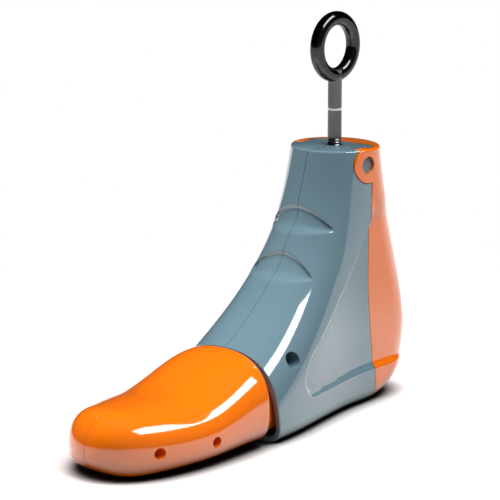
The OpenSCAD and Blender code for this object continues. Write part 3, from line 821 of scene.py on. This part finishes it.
# Which piece stands for which CAD node, on which body and in which material
MADE = [
    (body_right, "body", "body_right", "grey_shell", GREY_PLASTIC),
    (body_left, "body", "body_left", "grey_shell", GREY_PLASTIC),
    (heel, "heel", "heel", "orange_shell", ORANGE_PLASTIC),
    (toe_right, "toe_right", "toe_right", "orange_shell", ORANGE_PLASTIC),
    (toe_left, "toe_left", "toe_left", "orange_shell", ORANGE_PLASTIC),
    (screw, "screw", "eye_screw", "dark_steel", DARK_SHANK),
    (ring, "screw", "eye_screw", "dark_steel", DARK_CHROME),
]
for piece, body, node, slot, material in MADE:
    piece.data.materials.clear()
    piece.data.materials.append(material)
    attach(piece, body)
    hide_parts(node)

KEPT = {
    "marker_ring": WHITE_BAND,
    "guide_bush": BLACK_BUSH,
    "thread_nut": BRIGHT_STEEL,
    "thrust_washer": BRIGHT_STEEL,
    "retaining_clip": BRIGHT_STEEL,
    "wedge_block": PALE_PLASTIC,
    "push_rod": PALE_PLASTIC,
    "toe_pin_left": BRIGHT_STEEL,
    "toe_pin_right": BRIGHT_STEEL,
    "heel_pin_left": PIN_GREY,
    "heel_pin_right": PIN_GREY,
    "body_screws": BRIGHT_STEEL,
    "toe_spring": BRIGHT_STEEL,
    "heel_springs": BRIGHT_STEEL,
}
for node, material in KEPT.items():
    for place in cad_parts[node].material_slots:
        place.link = "OBJECT"
        place.material = material


# Floor: plain white far out, and near the object a diffuse surface that takes the lamps' shadows and a
# painted contact shadow
FLOOR_HALF = 7.0
FLOOR_NEAR = 0.20
FLOOR_FAR = 0.42
BOUNCE = 0.2
# Painted contact shadow: its reach, and the occlusion levels where the painted shade is darkest and where it
# ends
PAINTED_SHADOW_REACH = 0.022
PAINTED_SHADOW_DARK = 0.30
PAINTED_SHADOW_LIGHT = 0.72


def make_floor():
    mesh = bmesh.new()
    bmesh.ops.create_grid(mesh, x_segments=2, y_segments=2, size=FLOOR_HALF)
    floor = new_object("floor", mesh)
    material, tree, shader = new_material("white_floor")
    shader.inputs["Roughness"].default_value = 1.0
    shader.inputs["Specular IOR Level"].default_value = 0.0
    # Painted contact shadow: an occlusion test paints the floor's colour near black where the object stands
    # close over it
    painted_shadow_test = tree.nodes.new("ShaderNodeAmbientOcclusion")
    painted_shadow_test.inputs["Distance"].default_value = PAINTED_SHADOW_REACH
    painted_shadow_test.samples = 16
    shade = tree.nodes.new("ShaderNodeValToRGB")
    shade.color_ramp.elements[0].position = PAINTED_SHADOW_DARK
    shade.color_ramp.elements[0].color = (0.01, 0.01, 0.012, 1.0)
    shade.color_ramp.elements[1].position = PAINTED_SHADOW_LIGHT
    shade.color_ramp.elements[1].color = (0.95, 0.95, 0.95, 1.0)
    tree.links.new(painted_shadow_test.outputs["AO"], shade.inputs["Fac"])
    tree.links.new(shade.outputs["Color"], shader.inputs["Base Color"])
    where = tree.nodes.new("ShaderNodeTexCoord")
    far = tree.nodes.new("ShaderNodeVectorMath")
    far.operation = "LENGTH"
    fade = tree.nodes.new("ShaderNodeMapRange")
    fade.interpolation_type = "SMOOTHSTEP"
    fade.inputs["From Min"].default_value = FLOOR_NEAR
    fade.inputs["From Max"].default_value = FLOOR_FAR
    white = tree.nodes.new("ShaderNodeEmission")
    blend = tree.nodes.new("ShaderNodeMixShader")
    tree.links.new(where.outputs["Object"], far.inputs[0])
    tree.links.new(far.outputs["Value"], fade.inputs["Value"])
    tree.links.new(fade.outputs["Result"], blend.inputs["Fac"])
    tree.links.new(shader.outputs["BSDF"], blend.inputs[1])
    tree.links.new(white.outputs["Emission"], blend.inputs[2])
    # To bounced light the floor is grey, so that it doesn't light the object from below
    path = tree.nodes.new("ShaderNodeLightPath")
    dim = tree.nodes.new("ShaderNodeBsdfDiffuse")
    dim.inputs["Color"].default_value = (BOUNCE, BOUNCE, BOUNCE, 1.0)
    seen = tree.nodes.new("ShaderNodeMixShader")
    tree.links.new(path.outputs["Is Diffuse Ray"], seen.inputs["Fac"])
    tree.links.new(blend.outputs["Shader"], seen.inputs[1])
    tree.links.new(dim.outputs["BSDF"], seen.inputs[2])
    tree.links.new(seen.outputs["Shader"], tree.nodes["Material Output"].inputs["Surface"])
    floor.data.materials.append(material)


make_floor()


# World: a white cove at the horizon under a dim ceiling, with a glow on the right
WORLD_LOW = 1.0
WORLD_HIGH = 0.22
COVE_LOW = 0.05
COVE_HIGH = 0.16
GLOW_FROM = (1.0, -0.15, 0.25)
GLOW = 1.5
GLOW_EDGE = 0.35


def make_world():
    world = bpy.data.worlds.new("studio")
    bpy.context.scene.world = world
    world.use_nodes = True
    tree = world.node_tree
    back = tree.nodes["Background"]
    where = tree.nodes.new("ShaderNodeTexCoord")
    split = tree.nodes.new("ShaderNodeSeparateXYZ")
    ramp = tree.nodes.new("ShaderNodeMapRange")
    ramp.interpolation_type = "SMOOTHSTEP"
    ramp.inputs["From Min"].default_value = COVE_LOW
    ramp.inputs["From Max"].default_value = COVE_HIGH
    ramp.inputs["To Min"].default_value = WORLD_LOW
    ramp.inputs["To Max"].default_value = WORLD_HIGH
    # Broad soft glow from the right, without an edge that would show as a streak in the gloss
    toward = tree.nodes.new("ShaderNodeVectorMath")
    toward.operation = "DOT_PRODUCT"
    toward.inputs[1].default_value = Vector(GLOW_FROM).normalized()
    glow = tree.nodes.new("ShaderNodeMapRange")
    glow.interpolation_type = "SMOOTHSTEP"
    glow.inputs["From Min"].default_value = GLOW_EDGE
    glow.inputs["From Max"].default_value = 1.0
    glow.inputs["To Max"].default_value = GLOW
    total = tree.nodes.new("ShaderNodeMath")
    total.operation = "ADD"
    tree.links.new(where.outputs["Generated"], split.inputs["Vector"])
    tree.links.new(split.outputs["Z"], ramp.inputs["Value"])
    tree.links.new(where.outputs["Generated"], toward.inputs[0])
    tree.links.new(toward.outputs["Value"], glow.inputs["Value"])
    tree.links.new(ramp.outputs["Result"], total.inputs[0])
    tree.links.new(glow.outputs["Result"], total.inputs[1])
    tree.links.new(total.outputs["Value"], back.inputs["Strength"])


make_world()


def softbox(name, place, target, width, height, power):
    light = bpy.data.lights.new(name, "AREA")
    light.shape = "RECTANGLE"
    light.size = width
    light.size_y = height
    light.energy = power
    lamp = bpy.data.objects.new(name, light)
    lamp.location = place
    lamp.rotation_euler = (Vector(target) - Vector(place)).to_track_quat("-Z", "Y").to_euler()
    bpy.context.scene.collection.objects.link(lamp)
    return lamp


softbox("key_right", (0.93, 0.35, 1.60), (0.0, 0.0, 0.06), 1.4, 0.60, 32.0)
top_soft = softbox("top_soft", (-0.25, -0.15, 1.9), (0.0, 0.0, 0.08), 1.8, 1.8, 38.0)
fill_left = softbox("fill_left", (-1.7, -1.3, 1.0), (0.0, 0.0, 0.06), 1.6, 1.4, 26.0)
# Only the key shows as a streak; the two broad lamps just lift the shaded sides
for lamp in (top_soft, fill_left):
    lamp.visible_glossy = False

# Camera, solved from the ring and the outlines in the photo
FOCAL_PX = 2200.0
AZIMUTH = math.radians(41.08)
PITCH = math.radians(12.83)
FRAME_PX = 500.0
SENSOR_MM = 36.0
FROM_RING = Vector((0.7804, -0.9689, 0.1647))


def make_camera():
    data = bpy.data.cameras.new("camera")
    data.sensor_width = SENSOR_MM
    data.lens = FOCAL_PX / FRAME_PX * SENSOR_MM
    camera = bpy.data.objects.new("camera", data)
    level = math.cos(PITCH)
    ahead = Vector((-math.sin(AZIMUTH) * level, math.cos(AZIMUTH) * level, -math.sin(PITCH)))
    camera.location = Vector((0, SCREW_Y * MM, RING_Z * MM)) + FROM_RING
    camera.rotation_euler = ahead.to_track_quat("-Z", "Y").to_euler()
    data.clip_end = 50.0
    bpy.context.scene.collection.objects.link(camera)
    bpy.context.scene.camera = camera


make_camera()
bpy.context.scene.view_settings.view_transform = "Standard"
